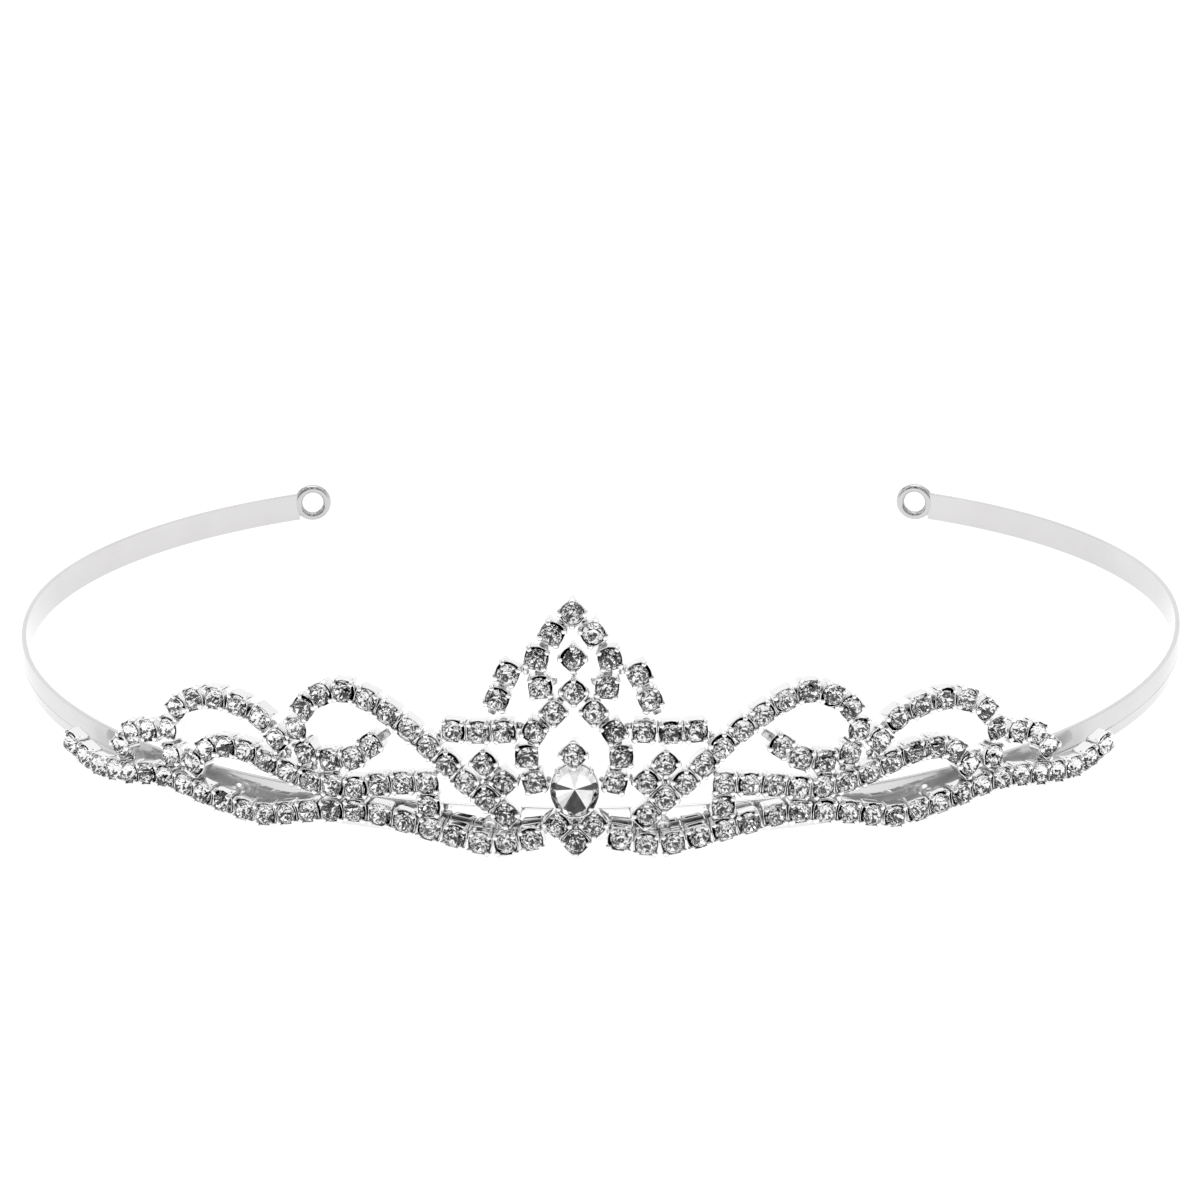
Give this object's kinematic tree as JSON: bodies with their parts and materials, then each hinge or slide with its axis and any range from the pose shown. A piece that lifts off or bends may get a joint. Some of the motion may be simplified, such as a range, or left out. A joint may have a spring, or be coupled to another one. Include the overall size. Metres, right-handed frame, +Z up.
{
  "type": "bridal tiara",
  "caption": "Bridal tiara: springy open metal headband with end eyelets, carrying a front crest of claw-set rhinestone chain scrolls around an oval centre stone.",
  "frame": {"origin": "under the middle of the outline, level with the lowest cup corner", "axes": "+X to the right side of the tiara, -Y to its front, +Z up towards the crest"},
  "size_m": [0.1466, 0.1293, 0.0294],
  "materials": {
    "band": "bright silver plate, finely drawn along its length",
    "cups": "bright silver plate",
    "solder": "silver-plated solder",
    "stones": "clear faceted crystal with a foil back"
  },
  "bodies": {
    "tiara": {"band_front": "band", "rail_left_chain": "cups", "rail_right_chain": "cups", "rail_left_stones": "stones", "rail_right_stones": "stones", "outer_scroll_left_chain": "cups", "outer_scroll_right_chain": "cups", "outer_scroll_left_stones": "stones", "outer_scroll_right_stones": "stones", "end_curl_left_chain": "cups", "end_curl_right_chain": "cups", "wave_left_chain": "cups", "wave_right_chain": "cups", "wave_left_stones": "stones", "wave_right_stones": "stones", "inner_scroll_left_chain": "cups", "inner_scroll_right_chain": "cups", "inner_scroll_left_stones": "stones", "inner_scroll_right_stones": "stones", "inner_curl_left_chain": "cups", "inner_curl_right_chain": "cups", "curl_stones": "stones", "brace_left_chain": "cups", "brace_right_chain": "cups", "brace_stones": "stones", "prop_cups": "cups", "prop_stones": "stones", "shoulder_row_left_chain": "cups", "shoulder_row_right_chain": "cups", "shoulder_arc_left_chain": "cups", "shoulder_arc_right_chain": "cups", "shoulder_stones": "stones", "crest_left_chain": "cups", "crest_right_chain": "cups", "crest_stones": "stones", "neck_left_chain": "cups", "neck_right_chain": "cups", "neck_stones": "stones", "apex_cup": "cups", "drop_cup": "cups", "crossing_cup": "cups", "crown_cup": "cups", "pair_cups": "cups", "point_cup": "cups", "single_stones": "stones", "drop_stem": "cups", "oval_setting": "cups", "oval_stone": "stones", "solder_posts": "solder", "solder_pads": "solder"},
    "left_arm": {"band_arm_left": "band", "eyelet_left": "band"},
    "right_arm": {"band_arm_right": "band", "eyelet_right": "band"}
  },
  "joints": [
    {"name": "left_arm_flex", "type": "hinge", "parent": "tiara", "child": "left_arm", "pos_m": [-0.06322, -0.02234, 0.00307], "axis": [0, 0, 1], "range_deg": [-4, 14], "stiffness_Nm_per_rad": 0.08},
    {"name": "right_arm_flex", "type": "hinge", "parent": "tiara", "child": "right_arm", "pos_m": [0.06322, -0.02234, 0.00307], "axis": [0, 0, -1], "range_deg": [-4, 14], "stiffness_Nm_per_rad": 0.08}
  ]
}
